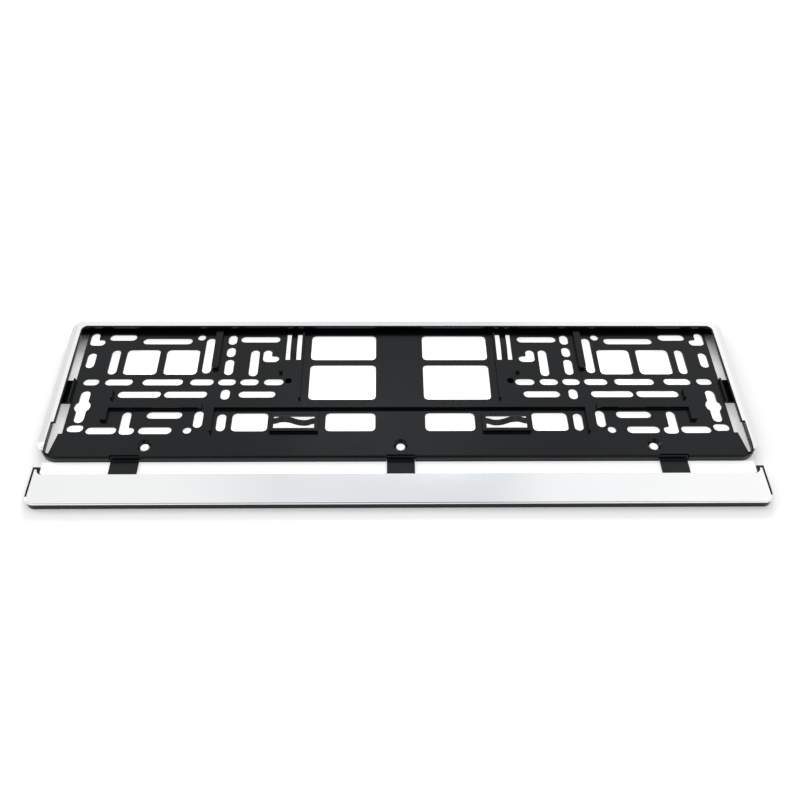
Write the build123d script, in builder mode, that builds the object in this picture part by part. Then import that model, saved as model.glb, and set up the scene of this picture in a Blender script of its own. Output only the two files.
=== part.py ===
from build123d import *
import os

# Number plate holder lying on its back with the closing bar folded out in front.
# X runs along the plate, Y up the plate and Z out of its face. All sizes are in millimetres.

# Outline of the base
base_width = 530.0
base_height = 133.0
corner_top_r = 8.0
corner_bottom_r = 13.0
front_edge_r = 1.8

# Levels above the surface that the back lies on
panel_front = 6.0
panel_t = 1.5
rim_top = 12.0
wall_t = 2.0

# Lip of the rim, bevelled on its face, with a bright strip laid over it that stays
# back from the inner edge
lip_t = 2.0
side_lip = 8.4
side_lip_low = 5.8
top_lip = 6.4
lip_corner_r = 4.0
rim_end = 3.0
bevel_width = 4.3
bevel_drop = 0.9
trim_t = 0.4
trim_back = 1.0
trim_back_low = 0.3

# Closing bar with its two ears and its bright face
bar_gap = 15.0
bar_height = 25.0
bar_thickness = 6.4
bar_plate_t = 1.4
bar_wall = 1.5
bar_corner_r = 7.0
bar_corner_cut = 0.15
bar_edge_r = 1.2
bar_overhang = 3.0
bar_end_gap = 0.6
ear_width = 5.3
ear_height = 6.4
ear_r = 3.0
ear_border = 2.0
ear_trim_width = 1.6
ear_trim_r = 4.0
trim_inset = 1.5
trim_turn = 0.3

# Straps with a round bead along each film hinge
strap_width = 20.5
strap_inset = 63.0
strap_t = 1.2
strap_bend_r = 1.4
strap_lift = 0.4
bead_r = 0.8
hinge_gap = 0.3
strap_side_gap = 0.5
axis_inset = 1.15
fold_clearance = 0.3

# Holes: slots, windows and dots stand at a distance either side of the middle
# and at a height above the lower edge of the base. Round ends are drawn with few sides,
# apart from those of the slots that take the mounting screws.
round_sides = 12
window_sides = 8
slot_width = 7.0
mount_slot_height = 60.0
mount_slots = ((165.5, 33.0), (201.0, 33.0))
slot_rows = (
    (120.0, ((224.0, 22.0),)),
    (118.0, ((112.5, 32.0),)),
    (116.0, ((187.5, 40.0),)),
    (72.5, ((98.5, 15.5), (117.5, 14.5), (135.0, 14.0), (154.5, 18.5), (185.0, 31.5), (219.0, 21.5))),
    (60.0, ((110.5, 28.5),)),
    (39.5, ((178.5, 27.0),)),
    (25.0, ((183.5, 25.0), (223.5, 23.0))),
)
slot_columns = (
    (115.5, ((92.5, 28.5),)),
    (135.0, ((117.5, 11.0), (104.0, 11.0), (88.0, 17.0), (60.0, 11.0), (32.5, 17.0))),
    (152.5, ((100.5, 38.5), (35.5, 16.5))),
    (226.5, ((93.5, 26.5),)),
)
corner_slots = ((102.5, 100.0, 13.0, 13.5), (204.5, 32.0, 11.5, 22.0))
windows = (
    (44.7, 108.8, 52.0, 27.0),
    (44.7, 72.3, 52.0, 36.0),
    (173.0, 93.5, 26.3, 27.0),
    (204.7, 93.5, 26.3, 27.0),
    (113.5, 32.8, 27.0, 17.8),
    (37.7, 32.8, 37.6, 17.8),
)
window_r = 3.0
dots = ((160.5, 120.0), (159.5, 25.0))
dot_d = 6.6

# Holes of the end columns stand at a distance in from the side of the base.
end_slots = ((24.6, 72.5, 12.5), (21.9, 27.0, 12.5))
end_upright = (19.8, 95.2, 16.5)
end_corner_slot = (21.1, 118.0, 12.5, 14.0)
keyhole = (22.9, 48.0, 32.0)
keyhole_width = 7.5
keyhole_d = 12.5

# Side slots under the lip, and the bridge between them
side_slot_in = 12.8
side_slot_heights = (74.0, 124.0)
low_slot_in = 13.5
low_slot_heights = (22.0, 51.5)
low_slot_step = 10.7
low_slot_tip = (7.6, 4.0)
bridge_rib_in = 11.6

# Countersunk screw holes and the pilot bosses
screw_r = 3.2
screw_head_r = 5.4
screw_pad_t = 1.5
screw_spacing = 189.0
screw_height = 11.0
pilot_r = 2.8
pilot_place = (87.2, 73.5)
pilot_floor = 1.0
boss_wall = 1.6
pin_r = 1.5
pin_place = (93.8, 82.5)

# Rails, ribs and pins that carry the plate
rail_h = 2.6
rail_width = 4.4
rib_t = 1.4
rail_height = 44.8
centre_rail_half = 142.8
centre_leg_height = 22.6
end_rail_reach = (151.0, 225.6)
end_leg_height = 33.3
post_x = 145.8
post_width = 5.5
post_height = 87.5
window_rib_x = 77.5
window_rib_heights = (54.7, 123.0)
tick_x = 221.3
tick_heights = (54.7, 63.0)

# Wave springs in raised frames, and straight leaf springs in the panel
wave_x = 80.0
wave_height = 31.2
wave_frame = (36.4, 17.6)
wave_frame_t = 1.5
wave_frame_wall = 1.4
wave_window = (30.6, 12.4)
wave_strip = 4.8
wave_strip_rise = 0.6
wave_amplitude = 2.3
leaf_x = 84.9
leaf_height = 109.7
leaf_window = (12.2, 28.2)
leaf_strip = 5.0
leaf_bow = 1.8
spring_t = 1.1
spring_root = 0.6

# Places worked out from the sizes above
half_width = base_width / 2
total_depth = base_height + bar_gap + bar_height
y_top = total_depth / 2
y_bottom = y_top - base_height
bar_top = y_bottom - bar_gap
bar_bottom = bar_top - bar_height
panel_back = panel_front - panel_t
rail_top = panel_front + rail_h
lip_x = half_width - side_lip
lip_x_low = half_width - side_lip_low
lip_y = y_top - top_lip
lip_under = rim_top - trim_t - lip_t

# The straps turn half a turn over the base and the bar half a turn back on them,
# so the bar travels along Y and Z without tilting.
fold_y = bar_gap + bar_height - bar_overhang
fold_z = rim_top + fold_clearance + bar_plate_t - bar_thickness
strap_z = strap_t / 2 + strap_lift
base_axis_y = y_bottom + axis_inset
base_axis_z = strap_z + fold_z / 2
bar_axis_y = base_axis_y - fold_y / 2
ear_top = bar_top + ear_height
step_y = ear_top + fold_y + fold_clearance
strap_x = half_width - strap_inset
strap_places = (-strap_x, 0.0, strap_x)
screw_places = (-screw_spacing, 0.0, screw_spacing)
notch_width = strap_width + 2 * strap_side_gap
notch_y = base_axis_y + bead_r + hinge_gap
bar_wall_end = lip_x_low - bar_end_gap


def up(height):
    """Y of a place given by its height above the lower edge of the base."""
    return y_bottom + height


def block(x0, x1, y0, y1):
    """Rectangle between two corners, drawn into the open sketch on both sides of the middle."""
    with Locations(((x0 + x1) / 2, (y0 + y1) / 2), (-(x0 + x1) / 2, (y0 + y1) / 2)):
        Rectangle(x1 - x0, y1 - y0)


def base_outline(inset=0.0):
    """Outline of the base, with rounder corners along its lower edge."""
    with BuildSketch() as outline:
        with Locations((0, (y_top + y_bottom) / 2)):
            Rectangle(base_width - 2 * inset, base_height - 2 * inset)
        fillet(outline.vertices().group_by(Axis.Y)[0], corner_bottom_r - inset)
        fillet(outline.vertices().group_by(Axis.Y)[-1], corner_top_r - inset)
    return outline.sketch


def lip_opening(back=0.0, back_low=0.0):
    """Opening that the lip leaves, wider below the step for the ears and right across at its end."""
    with BuildSketch() as inside:
        with Locations((0, lip_y + back)):
            Rectangle(2 * (lip_x + back), base_height, align=(Align.CENTER, Align.MAX))
        fillet(inside.vertices().group_by(Axis.Y)[-1], lip_corner_r + back)
        with Locations((0, step_y)):
            Rectangle(2 * (lip_x_low + back_low), base_height, align=(Align.CENTER, Align.MAX))
        with Locations((0, up(rim_end))):
            Rectangle(base_width, base_height, align=(Align.CENTER, Align.MAX))
    return inside.sketch


def rim_cap(top, back=0.0, back_low=0.0):
    """Lip of the rim with its face at a given level, bevelled down to the outer edge."""
    with BuildPart() as cap:
        with BuildSketch(Plane.XY.offset(top - lip_t)):
            add(base_outline())
        extrude(amount=lip_t)
        face = cap.faces().sort_by(Axis.Z)[-1]
        chamfer(face.edges(), length=bevel_width, length2=bevel_drop, reference=face)
        with BuildSketch(Plane.XY.offset(top - lip_t)):
            add(lip_opening(back, back_low))
        extrude(amount=lip_t, mode=Mode.SUBTRACT)
    return cap.part


def opening(x, y, width, height, corner_r=slot_width / 2, sides=round_sides):
    """Opening with round corners on both sides of the middle, drawn into the open sketch."""
    flat_x = width - 2 * corner_r
    flat_y = height - 2 * corner_r
    with BuildSketch() as shape:
        with GridLocations(flat_x, flat_y, 2, 2):
            RegularPolygon(corner_r, sides)
        if flat_x:
            Rectangle(flat_x, height)
        if flat_y:
            Rectangle(width, flat_y)
    with Locations((x, y), (-x, y)):
        add(shape.sketch)


def corner_slot(x, y, width, height):
    """L-shaped slot, upright on its outer side with a foot towards the middle."""
    opening(x + (width - slot_width) / 2, y, slot_width, height)
    opening(x, y - (height - slot_width) / 2, width, slot_width)


def panel_holes():
    """Slots, windows, dots and keyholes that pierce the panel."""
    with BuildSketch() as holes:
        for x, length in mount_slots:
            with Locations((x, up(mount_slot_height)), (-x, up(mount_slot_height))):
                SlotOverall(length, slot_width)
        for height, row in slot_rows:
            for x, length in row:
                opening(x, up(height), length, slot_width)
        for x, column in slot_columns:
            for height, length in column:
                opening(x, up(height), slot_width, length)
        for x, height, width, rise in corner_slots:
            corner_slot(x, up(height), width, rise)
        for x, height, width, rise in windows:
            opening(x, up(height), width, rise, window_r, window_sides)
        for x, height in dots:
            opening(x, up(height), dot_d, dot_d, dot_d / 2)
        for inset, height, length in end_slots:
            opening(half_width - inset, up(height), length, slot_width)
        inset, height, length = end_upright
        opening(half_width - inset, up(height), slot_width, length)
        inset, height, width, rise = end_corner_slot
        corner_slot(half_width - inset, up(height), width, rise)
        inset, height, length = keyhole
        opening(half_width - inset, up(height), keyhole_width, length, keyhole_width / 2)
        opening(half_width - inset, up(height), keyhole_d, keyhole_d, keyhole_d / 2)
        with Locations((leaf_x, up(leaf_height)), (-leaf_x, up(leaf_height))):
            Rectangle(*leaf_window)
    return holes.sketch


def side_slots():
    """Slots that run under the lip at both sides, narrowing towards the lower corner."""
    edge, step = half_width - low_slot_in, half_width - low_slot_step
    tip_x, tip_y = half_width - low_slot_tip[0], up(low_slot_tip[1])
    step_height, low_top = up(low_slot_heights[0]), up(low_slot_heights[1])
    with BuildSketch() as slots:
        block(half_width - side_slot_in, half_width, up(side_slot_heights[0]), up(side_slot_heights[1]))
        with BuildLine():
            Polyline(
                (edge, low_top),
                (half_width, low_top),
                (half_width, tip_y),
                (tip_x, tip_y),
                (step, step_height),
                (edge, step_height),
                close=True,
            )
        make_face()
        mirror(about=Plane.YZ)
        add(base_outline(wall_t), mode=Mode.INTERSECT)
    return slots.sketch


def rails():
    """Rails, thin ribs and posts that stand on the panel and carry the plate."""
    rail_y = up(rail_height)
    rail_back = rail_y + rail_width
    with BuildSketch() as plan:
        block(0, centre_rail_half, rail_y, rail_back)
        block(centre_rail_half - rib_t, centre_rail_half, up(centre_leg_height), rail_y)
        block(*end_rail_reach, rail_y, rail_back)
        block(end_rail_reach[1] - rail_width, end_rail_reach[1], up(end_leg_height), rail_y)
        block(post_x - post_width / 2, post_x + post_width / 2, up(post_height), y_top - wall_t)
        with Locations((post_x, up(post_height)), (-post_x, up(post_height))):
            RegularPolygon(post_width / 2, round_sides)
        block(window_rib_x - rib_t / 2, window_rib_x + rib_t / 2, *map(up, window_rib_heights))
        block(tick_x - rib_t / 2, tick_x + rib_t / 2, *map(up, tick_heights))
        bridge_x = half_width - bridge_rib_in
        block(bridge_x - rib_t, bridge_x, up(low_slot_heights[1]), up(side_slot_heights[0]))
        with Locations((pin_place[0], up(pin_place[1])), (-pin_place[0], up(pin_place[1]))):
            RegularPolygon(pin_r, round_sides)
    return plan.sketch


def wave_plan(width, height):
    """Rectangle at the place of each wave spring, drawn into the open sketch."""
    with Locations((wave_x, up(wave_height)), (-wave_x, up(wave_height))):
        Rectangle(width, height)


def wave_spring():
    """Strip across a raised frame: its outer half swells forward and its inner half back.
    It lies level at its roots, trough and crest, with a pair of arcs from each to the next."""
    half = wave_window[0] / 2
    level = rail_top - spring_t / 2
    turns = (
        (wave_x - half - spring_root, level),
        (wave_x - half / 2, level - wave_amplitude),
        (wave_x + half / 2, level + wave_amplitude),
        (wave_x + half + spring_root, level),
    )
    with BuildPart() as spring:
        with BuildSketch(Plane.XZ.offset(-up(wave_height) - wave_strip_rise)):
            with BuildLine():
                for (x0, z0), (x1, z1) in zip(turns, turns[1:]):
                    middle = ((x0 + x1) / 2, (z0 + z1) / 2)
                    first = TangentArc((x0, z0), middle, tangent=(1, 0))
                    TangentArc(middle, (x1, z1), tangent=first % 1)
            trace(line_width=spring_t)
        extrude(amount=wave_strip / 2, both=True)
    return spring.part


def leaf_spring():
    """Straight strip along the middle of its window, bowed forward."""
    reach = leaf_window[1] / 2 + spring_root
    level = panel_front - panel_t / 2
    middle = up(leaf_height)
    with BuildPart() as spring:
        with BuildSketch(Plane.YZ.offset(leaf_x)):
            with BuildLine():
                ThreePointArc((middle - reach, level), (middle, level + leaf_bow), (middle + reach, level))
            trace(line_width=spring_t)
        extrude(amount=leaf_strip / 2, both=True)
    return spring.part


def ease_lower_edge(piece, inset):
    """Rounds the lower edge of the bar's face, or bevels it where it is set in under the bright face."""
    lower_edge = piece.faces().sort_by(Axis.Z)[-1].edges().group_by(Axis.Y)[0]
    if inset:
        chamfer(lower_edge, bar_edge_r - inset)
    else:
        fillet(lower_edge, bar_edge_r)


def bar_corner(inset):
    """Block at the right lower corner of the bar, drawn at the origin. Its arc is cut short
    at the flat end, so that the rounding of the lower edge stops there."""
    side = 2 * bar_corner_r - inset
    with BuildPart() as corner:
        with BuildSketch() as plan:
            Rectangle(side + bar_corner_cut, side, align=Align.MIN)
            fillet(plan.vertices().group_by(Axis.Y)[0].sort_by(Axis.X)[-1], bar_corner_r - inset)
            Rectangle(side, side, align=Align.MIN, mode=Mode.INTERSECT)
        extrude(amount=bar_thickness - inset)
        ease_lower_edge(corner, inset)
    return corner.part


def bar_body(inset=0.0):
    """Full block of the bar with its ears, or the same set in under the bright face."""
    corner = bar_corner(inset)
    corner_x = half_width - 2 * bar_corner_r
    corner_top = bar_bottom + 2 * bar_corner_r
    with BuildPart() as body:
        with BuildSketch() as outline:
            block(0, corner_x, bar_bottom + inset, corner_top)
            block(0, half_width - inset, corner_top, bar_top)
            block(half_width - ear_width, half_width - inset, bar_top - bar_wall, ear_top)
            fillet(outline.vertices().group_by(Axis.Y)[-2], ear_r)
        extrude(amount=bar_thickness - inset)
        ease_lower_edge(body, inset)
        with Locations((corner_x, bar_bottom + inset)):
            add(corner)
        with Locations((-corner_x, bar_bottom + inset)):
            add(corner.mirror(Plane.YZ))
    return body.part


def bar_face_plan():
    """Plan of the bright face: back from the ends above the round corners, curved in at the ears."""
    end = half_width - trim_inset
    tip = ear_top - ear_border
    tip_x = end - ear_trim_width
    with BuildSketch() as plan:
        with Locations((0, bar_top)):
            Rectangle(2 * end, bar_height, align=(Align.CENTER, Align.MAX))
        with Locations((0, bar_bottom)):
            Rectangle(base_width, bar_corner_r - bar_edge_r, align=(Align.CENTER, Align.MIN))
        with BuildLine():
            Polyline((tip_x - ear_trim_r, bar_top), (end, bar_top), (end, tip), (tip_x, tip))
            TangentArc((tip_x, tip), (tip_x - ear_trim_r, bar_top), tangent=(0, -1))
        make_face()
        mirror(about=Plane.YZ)
    return plan.sketch


def bar_walls():
    """Walls under the face of the bar: lower skirt, inner wall and one wall near each end."""
    with BuildSketch() as walls:
        with Locations((0, bar_bottom)):
            Rectangle(base_width, bar_wall, align=(Align.CENTER, Align.MIN))
        with Locations((0, bar_axis_y)):
            Rectangle(2 * bar_wall_end, bar_wall)
        block(bar_wall_end - bar_wall, bar_wall_end, bar_bottom, bar_axis_y)
    return walls.sketch


with BuildPart() as base_panel:
    # Tray with a rounded front edge, hollow behind the panel
    with BuildSketch():
        add(base_outline())
    extrude(amount=panel_front)
    fillet(base_panel.faces().sort_by(Axis.Z)[-1].edges(), front_edge_r)
    with BuildSketch():
        add(base_outline(wall_t))
    extrude(amount=panel_back, mode=Mode.SUBTRACT)

    # Wall along the top and both sides, with the lip over it
    with BuildSketch():
        add(base_outline())
        add(base_outline(wall_t), mode=Mode.SUBTRACT)
        add(lip_opening(), mode=Mode.SUBTRACT)
    extrude(amount=lip_under)
    add(rim_cap(rim_top - trim_t))

    # Rails and spring frames on the panel, bosses and notch walls behind it
    with BuildSketch(Plane.XY.offset(panel_front)):
        add(rails())
        wave_plan(*wave_frame)
    extrude(amount=rail_h)
    with BuildSketch():
        with Locations((pilot_place[0], up(pilot_place[1])), (-pilot_place[0], up(pilot_place[1]))):
            RegularPolygon(pilot_r + boss_wall, round_sides)
        with Locations(*[(place, notch_y) for place in strap_places]):
            Rectangle(notch_width + 2 * wall_t, wall_t, align=(Align.CENTER, Align.MIN))
    extrude(amount=panel_front)
    with BuildSketch(Plane.XY.offset(panel_back - screw_pad_t)):
        with Locations(*[(place, up(screw_height)) for place in screw_places]):
            RegularPolygon(screw_head_r + boss_wall, round_sides)
    extrude(amount=screw_pad_t)

    # Openings, from the back up to the underside of the lip
    with BuildSketch():
        add(panel_holes())
        add(side_slots())
        wave_plan(*wave_window)
        with Locations(*[(place, notch_y) for place in strap_places]):
            Rectangle(notch_width, wall_t + front_edge_r, align=(Align.CENTER, Align.MAX))
    extrude(amount=lip_under, mode=Mode.SUBTRACT)
    with BuildSketch():
        wave_plan(*[size - 2 * wave_frame_wall for size in wave_frame])
    extrude(amount=rail_top - wave_frame_t, mode=Mode.SUBTRACT)
    with BuildSketch(Plane.XY.offset(pilot_floor)):
        with Locations((pilot_place[0], up(pilot_place[1])), (-pilot_place[0], up(pilot_place[1]))):
            RegularPolygon(pilot_r, round_sides)
    extrude(amount=panel_front, mode=Mode.SUBTRACT)
    with Locations(*[(place, up(screw_height), panel_front) for place in screw_places]):
        CounterSinkHole(screw_r, screw_head_r, counter_sink_angle=90)

    # Springs across their windows
    for spring in (wave_spring(), leaf_spring()):
        add(spring)
        add(spring.mirror(Plane.YZ))

with BuildPart() as rim_trim:
    add(rim_cap(rim_top, trim_back, trim_back_low))
    add(rim_cap(rim_top - trim_t), mode=Mode.SUBTRACT)

with BuildPart() as bar_trim:
    add(bar_body())
    with BuildSketch(Plane.XY.offset(bar_thickness - bar_edge_r - trim_turn)):
        add(bar_face_plan())
    extrude(amount=bar_thickness, mode=Mode.INTERSECT)
    add(bar_body(trim_t), mode=Mode.SUBTRACT)

with BuildPart() as bar_shell:
    add(bar_body())
    with BuildSketch():
        with Locations((0, bar_bottom)):
            Rectangle(base_width, 2 * bar_height, align=(Align.CENTER, Align.MIN))
        add(bar_walls(), mode=Mode.SUBTRACT)
    extrude(amount=bar_thickness - bar_plate_t, mode=Mode.SUBTRACT)
    with BuildSketch():
        with Locations(*[(place, bar_axis_y) for place in strap_places]):
            Rectangle(notch_width, 2 * bar_wall)
    extrude(amount=strap_z + bead_r + hinge_gap, mode=Mode.SUBTRACT)
    add(bar_trim.part, mode=Mode.SUBTRACT)


def strap(place):
    """Cranked strap between the two film hinges, at its place along the base."""
    with BuildPart() as band:
        with BuildSketch(Plane.YZ.offset(place)):
            with BuildLine():
                FilletPolyline(
                    (base_axis_y, base_axis_z),
                    (base_axis_y, strap_z),
                    (bar_axis_y, strap_z),
                    radius=strap_bend_r,
                )
            trace(line_width=strap_t)
            with Locations((base_axis_y, base_axis_z), (bar_axis_y, strap_z)):
                RegularPolygon(bead_r, round_sides)
        extrude(amount=strap_width / 2, both=True)
    return band.part


pieces = {
    "base_panel": base_panel.part,
    "rim_trim": rim_trim.part,
    "bar_shell": bar_shell.part,
    "bar_trim": bar_trim.part,
}
for name, place in zip(("strap_left", "strap_centre", "strap_right"), strap_places):
    pieces[name] = strap(place)

os.makedirs("parts", exist_ok=True)
for name, piece in pieces.items():
    piece.label = name
    export_step(piece, f"parts/{name}.step")

print("strap axis on the base", base_axis_y, base_axis_z)
print("strap axis on the bar", bar_axis_y, strap_z)
print("travel of the bar", fold_y, fold_z)
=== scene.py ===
import math

import bpy
from mathutils import Euler, Matrix, Vector


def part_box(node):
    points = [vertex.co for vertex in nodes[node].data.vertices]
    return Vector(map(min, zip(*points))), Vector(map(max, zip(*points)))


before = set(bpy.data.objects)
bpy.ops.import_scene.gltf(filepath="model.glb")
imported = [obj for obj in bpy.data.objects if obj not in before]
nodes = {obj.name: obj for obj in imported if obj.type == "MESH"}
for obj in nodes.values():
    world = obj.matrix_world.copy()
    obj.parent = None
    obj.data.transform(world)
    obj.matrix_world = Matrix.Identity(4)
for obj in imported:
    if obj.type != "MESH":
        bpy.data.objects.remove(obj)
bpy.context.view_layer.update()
base_low, base_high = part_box("base_panel")
bar_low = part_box("bar_shell")[0]

# Places and sizes are in metres, noise scales in waves per metre and light powers in watts.

# Black plastic: two tones of colour, range of roughness, strength of the shine and of the grain
panel_tones = ((0.0014, 0.0015, 0.0017), (0.0024, 0.0025, 0.0028))
panel_rough = (0.2, 0.27)
panel_shine = 0.26
panel_grain = 0.2
strap_tones = ((0.003, 0.0032, 0.0035), (0.0045, 0.0048, 0.0052))
strap_rough = (0.28, 0.36)
strap_shine = 0.28
strap_grain = 0.35
shine_tint = (0.88, 0.95, 1.0)
plastic_tone_scale = 14.0
plastic_patch_scale = 45.0
plastic_grain_scale = 2600.0
plastic_grain_depth = 0.00002
plastic_edge_r = 0.0004

# Bright plating: two tones of colour, range of roughness, faint waves in the surface
bright_tones = ((0.873, 0.87785, 0.8827), (0.90, 0.905, 0.91))
bright_rough = (0.05, 0.11)
bright_tone_scale = 9.0
bright_smear_scale = 18.0
bright_smear_stretch = (0.35, 1.6, 1.0)
bright_wave_scale = 16.0
bright_wave_depth = 0.0006
bright_wave_strength = 0.12
bright_edge_r = 0.0003

edge_samples = 6

# Pale matt finish of everything on the stage
floor_pale = 0.92
card_pale = 0.9
stage_dim = 0.98
stage_tone_scale = 3.0
stage_rough = 0.9
stage_shine = 0.1

# Floor, just under the object
floor_reach = 6.0
floor_level = -0.0001
floor_glow = 0.12

# Glowing cards on the floor paint light into the shade under the object, so the openings stay
# bright. Each ends a little inside the outline.
# One lies under the panel and glows evenly.
card_level = -0.00005
card_ends_in = 0.011
card_foot_in = 0.0045
card_head_in = 0.0035
card_glow = 0.85

# One reaches under the slots at both ends and paints light into the shade under the rims. Its glow
# fades out between two distances from the top, so the slots darken towards the top.
side_level = -0.00008
side_ends_in = 0.0025
side_glow = 0.38
side_fade_below = (0.0415, 0.0115)

# One lies in the gap and under the bar and paints light into the shade there. Its glow fades
# towards the front of the bar.
gap_ends_in = 0.003
gap_foot_in = 0.001
gap_glow = 0.45
gap_end_glow = 0.14

# Tone of the surround by direction, from 0 at the left to 1 at the right
surround = (
    (0.0, (0.82, 0.82, 0.82)),
    (0.2, (0.84, 0.84, 0.84)),
    (0.3, (0.98, 0.98, 0.98)),
    (0.38, (1.0, 1.0, 1.0)),
    (0.45, (0.86, 0.875, 0.895)),
    (0.55, (0.805, 0.835, 0.85)),
    (0.6, (1.0, 1.01, 1.02)),
    (0.68, (1.07, 1.07, 1.06)),
    (0.74, (1.07, 1.07, 1.06)),
    (0.82, (0.95, 0.95, 0.94)),
    (1.0, (0.92, 0.92, 0.92)),
)

# The surround darkens round the photographer, between two cosines of the angle to that direction
dark_cosines = (0.84, 0.97)
dark_strength = 0.2

# Camera at the photograph's angle
elevation = math.radians(50.662)
yaw = math.radians(-1.726)
roll = math.radians(1.261)
camera_place = (-0.01288, -0.42113, 0.52903)
sensor_mm = 36.0
lens_mm = 39.475
near_clip = 0.01


# Helpers for materials

def new_material(name):
    """Empty material with one shader."""
    mat = bpy.data.materials.new(name)
    mat.use_nodes = True
    tree = mat.node_tree
    tree.nodes.clear()
    out = tree.nodes.new("ShaderNodeOutputMaterial")
    shader = tree.nodes.new("ShaderNodeBsdfPrincipled")
    tree.links.new(shader.outputs["BSDF"], out.inputs["Surface"])
    return mat, tree, shader


def noise(tree, scale, detail=2.0, roughness=0.5, stretch=None):
    """Noise over the object's own coordinates, stretched along the axes if asked."""
    coords = tree.nodes.new("ShaderNodeTexCoord")
    node = tree.nodes.new("ShaderNodeTexNoise")
    node.inputs["Scale"].default_value = scale
    node.inputs["Detail"].default_value = detail
    node.inputs["Roughness"].default_value = roughness
    source = coords.outputs["Object"]
    if stretch:
        mapping = tree.nodes.new("ShaderNodeMapping")
        mapping.inputs["Scale"].default_value = stretch
        tree.links.new(source, mapping.inputs["Vector"])
        source = mapping.outputs["Vector"]
    tree.links.new(source, node.inputs["Vector"])
    return node.outputs["Fac"]


def spread(tree, value, low, high, source=(0.3, 0.7)):
    """Maps a value from a source range to low and high. The usual source suits noise."""
    node = tree.nodes.new("ShaderNodeMapRange")
    node.inputs["From Min"].default_value = source[0]
    node.inputs["From Max"].default_value = source[1]
    node.inputs["To Min"].default_value = low
    node.inputs["To Max"].default_value = high
    tree.links.new(value, node.inputs["Value"])
    return node.outputs["Result"]


def tone(tree, tones, scale, detail=2.0):
    """Colour that wanders between two tones."""
    node = tree.nodes.new("ShaderNodeMix")
    node.data_type = "RGBA"
    share = spread(tree, noise(tree, scale, detail), 0.0, 1.0)
    tree.links.new(share, node.inputs["Factor"])
    node.inputs["A"].default_value = (*tones[0], 1)
    node.inputs["B"].default_value = (*tones[1], 1)
    return node.outputs["Result"]


def bump(tree, height, depth, strength, normal):
    """Normal that follows a height, on top of another normal."""
    node = tree.nodes.new("ShaderNodeBump")
    node.inputs["Strength"].default_value = strength
    node.inputs["Distance"].default_value = depth
    tree.links.new(height, node.inputs["Height"])
    tree.links.new(normal, node.inputs["Normal"])
    return node.outputs["Normal"]


def edge_round(tree, radius):
    """Normal that rounds sharp edges."""
    node = tree.nodes.new("ShaderNodeBevel")
    node.samples = edge_samples
    node.inputs["Radius"].default_value = radius
    return node.outputs["Normal"]


# Materials of the object

def plastic(name, tones, rough, shine, grain):
    """Moulded black plastic with patchy gloss and a fine grain."""
    mat, tree, shader = new_material(name)
    colour = tone(tree, tones, plastic_tone_scale, detail=3.0)
    tree.links.new(colour, shader.inputs["Base Color"])
    patch = noise(tree, plastic_patch_scale, detail=4.0, roughness=0.6)
    tree.links.new(spread(tree, patch, *rough), shader.inputs["Roughness"])
    shader.inputs["Specular IOR Level"].default_value = shine
    shader.inputs["Specular Tint"].default_value = (*shine_tint, 1)
    rounded = edge_round(tree, plastic_edge_r)
    fine = noise(tree, plastic_grain_scale)
    grained = bump(tree, fine, plastic_grain_depth, grain, rounded)
    tree.links.new(grained, shader.inputs["Normal"])
    return mat


def plating(name):
    """Bright plating with smears along its length and faint waves."""
    mat, tree, shader = new_material(name)
    shader.inputs["Metallic"].default_value = 1.0
    tree.links.new(tone(tree, bright_tones, bright_tone_scale), shader.inputs["Base Color"])
    smear = noise(tree, bright_smear_scale, detail=4.0, roughness=0.6, stretch=bright_smear_stretch)
    tree.links.new(spread(tree, smear, *bright_rough), shader.inputs["Roughness"])
    wave = noise(tree, bright_wave_scale, detail=1.0)
    rounded = edge_round(tree, bright_edge_r)
    waved = bump(tree, wave, bright_wave_depth, bright_wave_strength, rounded)
    tree.links.new(waved, shader.inputs["Normal"])
    return mat


panel_black = plastic("moulded_black", panel_tones, panel_rough, panel_shine, panel_grain)
strap_black = plastic("hinge_black", strap_tones, strap_rough, strap_shine, strap_grain)
bright = plating("bright_plating")

finish = {
    "base_panel": panel_black,
    "bar_shell": panel_black,
    "strap_left": strap_black,
    "strap_centre": strap_black,
    "strap_right": strap_black,
    "rim_trim": bright,
    "bar_trim": bright,
}
for name, mat in finish.items():
    for slot in nodes[name].material_slots:
        slot.material = mat


# Stage

def stage_material(name, pale, glow, fade=None, end_glow=0.0):
    """Pale matt finish with a glow, which may fade to another between two values of y."""
    mat, tree, shader = new_material(name)
    tones = ((pale * stage_dim,) * 3, (pale,) * 3)
    tree.links.new(tone(tree, tones, stage_tone_scale), shader.inputs["Base Color"])
    shader.inputs["Roughness"].default_value = stage_rough
    shader.inputs["Specular IOR Level"].default_value = stage_shine
    shader.inputs["Emission Color"].default_value = (1, 1, 1, 1)
    shader.inputs["Emission Strength"].default_value = glow
    if fade:
        coords = tree.nodes.new("ShaderNodeTexCoord")
        split = tree.nodes.new("ShaderNodeSeparateXYZ")
        tree.links.new(coords.outputs["Object"], split.inputs["Vector"])
        faded = spread(tree, split.outputs["Y"], glow, end_glow, source=fade)
        tree.links.new(faded, shader.inputs["Emission Strength"])
    return mat


def sheet(name, reach, y0, y1, level, mat):
    """Flat rectangle that reaches as far to the left as to the right, linked into the scene."""
    mesh = bpy.data.meshes.new(name)
    corners = [(-reach, y0, level), (reach, y0, level), (reach, y1, level), (-reach, y1, level)]
    mesh.from_pydata(corners, [], [(0, 1, 2, 3)])
    mesh.materials.append(mat)
    ob = bpy.data.objects.new(name, mesh)
    bpy.context.scene.collection.objects.link(ob)


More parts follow.
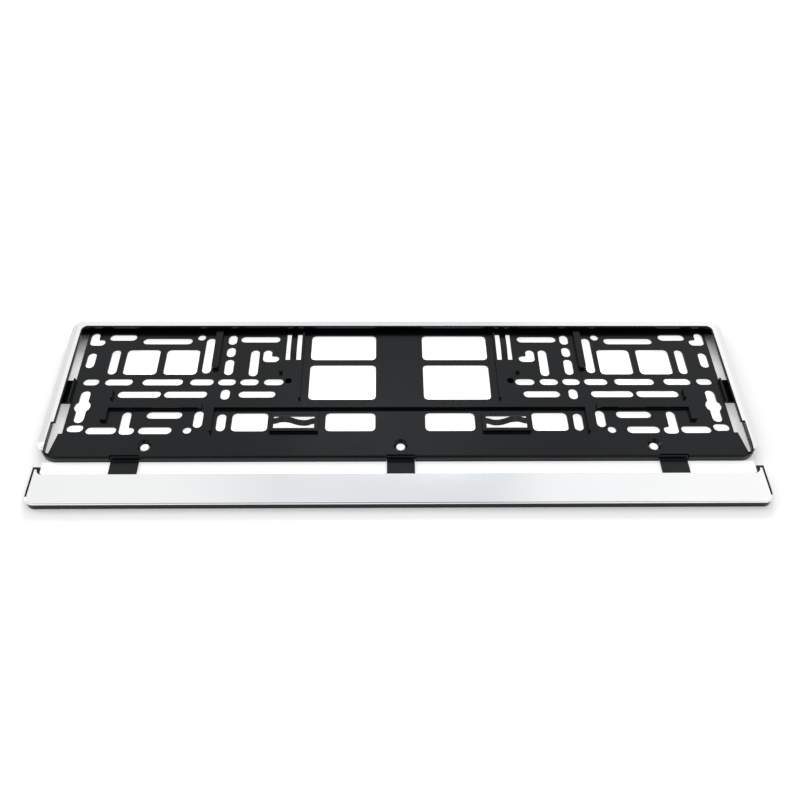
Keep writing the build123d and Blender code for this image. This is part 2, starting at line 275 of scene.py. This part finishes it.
card_foot = base_low.y + card_foot_in
card_head = base_high.y - card_head_in
gap_foot = bar_low.y + gap_foot_in
gap_head = base_low.y
side_fade = [base_high.y - below for below in side_fade_below]
pale_floor = stage_material("pale_floor", floor_pale, floor_glow)
# painted light: glow under the side slots, fading out towards the top
painted_light_side = stage_material("painted_light_side", card_pale, side_glow, side_fade)
# painted light: even glow under the panel's openings, in place of the shade under the panel
painted_light_card = stage_material("painted_light_card", card_pale, card_glow)
# painted light: glow in the gap between base and bar, fading towards the front of the bar
painted_light_gap = stage_material("painted_light_gap", card_pale, gap_glow, (gap_head, gap_foot), gap_end_glow)
sheet("floor", floor_reach, -floor_reach, floor_reach, floor_level, pale_floor)
sheet("side_card", base_high.x - side_ends_in, card_foot, card_head, side_level, painted_light_side)
sheet("card", base_high.x - card_ends_in, card_foot, card_head, card_level, painted_light_card)
sheet("gap_card", base_high.x - gap_ends_in, gap_foot, gap_head, card_level, painted_light_gap)


# Light

def area(name, place, size, power, in_reflections=True):
    """Soft rectangular light turned towards the middle of the object."""
    light = bpy.data.lights.new(name, "AREA")
    light.shape = "RECTANGLE"
    light.size, light.size_y = size
    light.energy = power
    lamp = bpy.data.objects.new(name, light)
    lamp.location = place
    lamp.rotation_euler = (-Vector(place)).to_track_quat("-Z", "Y").to_euler()
    lamp.visible_glossy = in_reflections
    bpy.context.scene.collection.objects.link(lamp)


area("key", place=(-1.4, 0.5, 0.9), size=(0.4, 0.4), power=4.0)
area("back", place=(0.0, 1.2, 1.57), size=(0.62, 0.2), power=0.54)
# The rear light casts the soft shadow in front and stays out of reflections
area("rear", place=(0.1, 1.7, 1.06), size=(0.9, 0.3), power=14.0, in_reflections=False)


def studio_world():
    """Soft white surround, a little darker straight behind the object and far to its sides,
    and dark where the photographer stands."""
    world = bpy.data.worlds.new("studio")
    world.use_nodes = True
    tree = world.node_tree
    background = tree.nodes["Background"]
    coords = tree.nodes.new("ShaderNodeTexCoord")
    split = tree.nodes.new("ShaderNodeSeparateXYZ")
    tree.links.new(coords.outputs["Generated"], split.inputs["Vector"])

    # A new ramp has a stop at each end already
    sides = tree.nodes.new("ShaderNodeValToRGB")
    sides.color_ramp.interpolation = "EASE"
    stops = sides.color_ramp.elements
    for place, _ in surround[1:-1]:
        stops.new(place)
    for stop, (_, colour) in zip(stops, surround):
        stop.color = (*colour, 1)
    across = spread(tree, split.outputs["X"], 0.0, 1.0, source=(-1.0, 1.0))
    tree.links.new(across, sides.inputs["Fac"])
    tree.links.new(sides.outputs["Color"], background.inputs["Color"])

    facing = tree.nodes.new("ShaderNodeVectorMath")
    facing.operation = "DOT_PRODUCT"
    facing.inputs[1].default_value = (0.0, -math.cos(elevation), math.sin(elevation))
    tree.links.new(coords.outputs["Generated"], facing.inputs[0])
    shade = spread(tree, facing.outputs["Value"], 1.0, dark_strength, source=dark_cosines)
    shade.node.interpolation_type = "SMOOTHSTEP"
    tree.links.new(shade, background.inputs["Strength"])
    return world


bpy.context.scene.world = studio_world()
bpy.context.scene.view_settings.view_transform = "Standard"


# Camera

lens = bpy.data.cameras.new("camera")
lens.sensor_width = sensor_mm
lens.lens = lens_mm
lens.clip_start = near_clip
camera = bpy.data.objects.new("camera", lens)
bpy.context.scene.collection.objects.link(camera)
tilt = Euler((math.pi / 2 - elevation, 0, yaw)).to_matrix().to_4x4()
turn = tilt @ Matrix.Rotation(roll, 4, "Z")
camera.matrix_world = Matrix.Translation(camera_place) @ turn
bpy.context.scene.camera = camera
